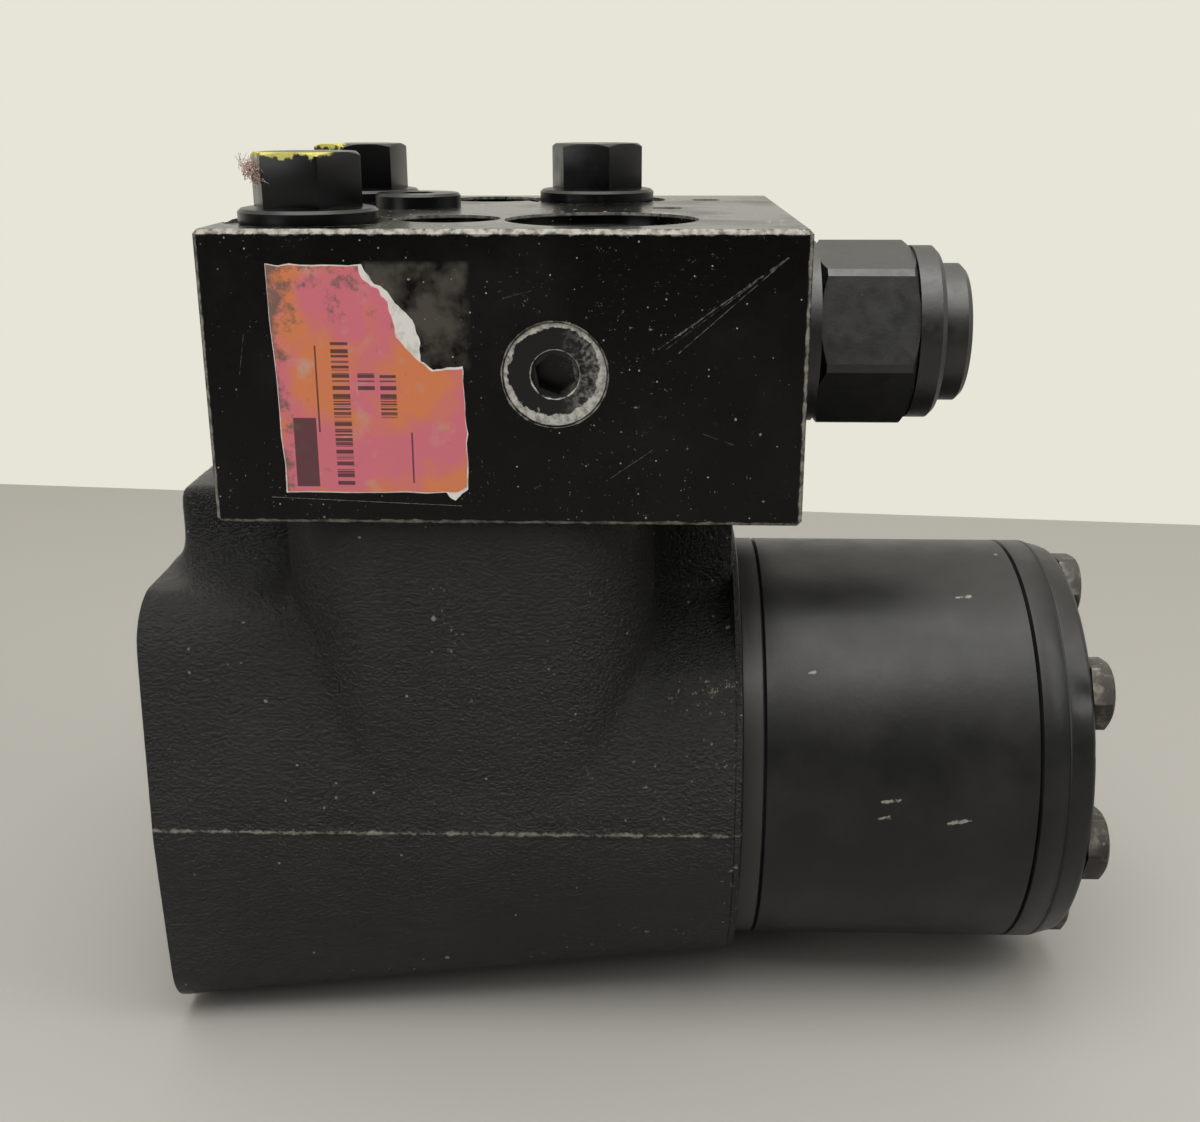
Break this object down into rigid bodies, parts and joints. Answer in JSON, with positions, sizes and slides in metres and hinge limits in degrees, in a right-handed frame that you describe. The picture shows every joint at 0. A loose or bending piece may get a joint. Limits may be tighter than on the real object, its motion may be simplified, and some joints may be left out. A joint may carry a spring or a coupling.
{
  "type": "orbital steering unit",
  "caption": "Hydraulic steering unit with a spool-and-sleeve valve, a gerotor motor and a ported manifold block bolted on its port face.",
  "frame": {"origin": "centre of the mounting face on the steering axis", "axes": "+X along the steering axis from the mounting face to the gerotor, +Y to the back, +Z to the port face"},
  "size_m": [0.1852, 0.0968, 0.1704],
  "materials": {
    "black_casting": "satin",
    "charcoal_steel": "satin",
    "block_paint": "gloss",
    "black_plug": "satin",
    "zinc_steel": "satin",
    "ground_steel": "polished",
    "spring_steel": "satin",
    "nitrile": "matt"
  },
  "bodies": {
    "unit": {"housing": "black_casting", "gland_bushing": "ground_steel", "dust_seal": "nitrile", "shaft_seal": "nitrile", "retaining_ring": "zinc_steel", "fixed_race": "ground_steel", "needle_cage": "ground_steel", "needles": "ground_steel", "check_seat": "zinc_steel", "spacer_plate": "charcoal_steel", "stator_ring": "charcoal_steel", "end_cap": "charcoal_steel", "body_seals": "nitrile", "cap_screws": "zinc_steel", "manifold_block": "block_paint", "port_seals": "nitrile", "front_port_plug": "black_plug", "back_port_plug": "black_plug", "far_port_plug": "black_plug", "plug_seals": "nitrile", "low_plug": "black_plug", "face_plug": "zinc_steel", "block_screws": "black_plug", "cartridge_body": "black_plug", "cartridge_cap": "black_plug", "cartridge_seal": "nitrile", "poppet_spring": "spring_steel"},
    "sleeve": {"sleeve": "ground_steel", "centring_springs": "spring_steel", "cross_pin": "ground_steel", "turning_race": "ground_steel"},
    "spool": {"spool": "ground_steel"},
    "orbit_carrier": {"drive_spacer": "ground_steel"},
    "rotor_star": {"rotor_star": "ground_steel"},
    "drive_shaft": {"drive_shaft": "ground_steel"},
    "poppet": {"poppet": "ground_steel"},
    "check_ball": {"check_ball": "ground_steel"}
  },
  "joints": [
    {"name": "sleeve_turn", "type": "hinge", "parent": "unit", "child": "sleeve", "pos_m": [0.06, 0, 0], "axis": [1, 0, 0], "continuous": true},
    {"name": "spool_turn", "type": "hinge", "parent": "sleeve", "child": "spool", "pos_m": [0.06, 0, 0], "axis": [1, 0, 0], "range_deg": [-9, 9], "stiffness_Nm_per_rad": 6, "deforming": ["centring_springs"]},
    {"name": "star_orbit", "type": "hinge", "parent": "unit", "child": "orbit_carrier", "pos_m": [0.158, 0, 0], "axis": [1, 0, 0], "continuous": true},
    {"name": "star_turn", "type": "hinge", "parent": "orbit_carrier", "child": "rotor_star", "pos_m": [0.158, 0, 0.0028], "axis": [1, 0, 0], "continuous": true},
    {"name": "shaft_turn", "type": "hinge", "parent": "orbit_carrier", "child": "drive_shaft", "pos_m": [0.09, 0, 0], "axis": [0.9983, 0, 0.0582], "continuous": true},
    {"name": "poppet_lift", "type": "slide", "parent": "unit", "child": "poppet", "axis": [1, 0, 0], "range_m": [0, 0.003], "stiffness_N_per_m": 2000, "springref_m": -0.004, "deforming": ["poppet_spring"]},
    {"name": "check_ball_lift", "type": "slide", "parent": "unit", "child": "check_ball", "axis": [0, 0, 1], "range_m": [0, 0.0015]}
  ],
  "couplings": [
    {"joint": "star_orbit", "follows": "sleeve_turn", "ratio": -6},
    {"joint": "star_turn", "follows": "sleeve_turn", "ratio": 7},
    {"joint": "shaft_turn", "follows": "sleeve_turn", "ratio": 7}
  ]
}
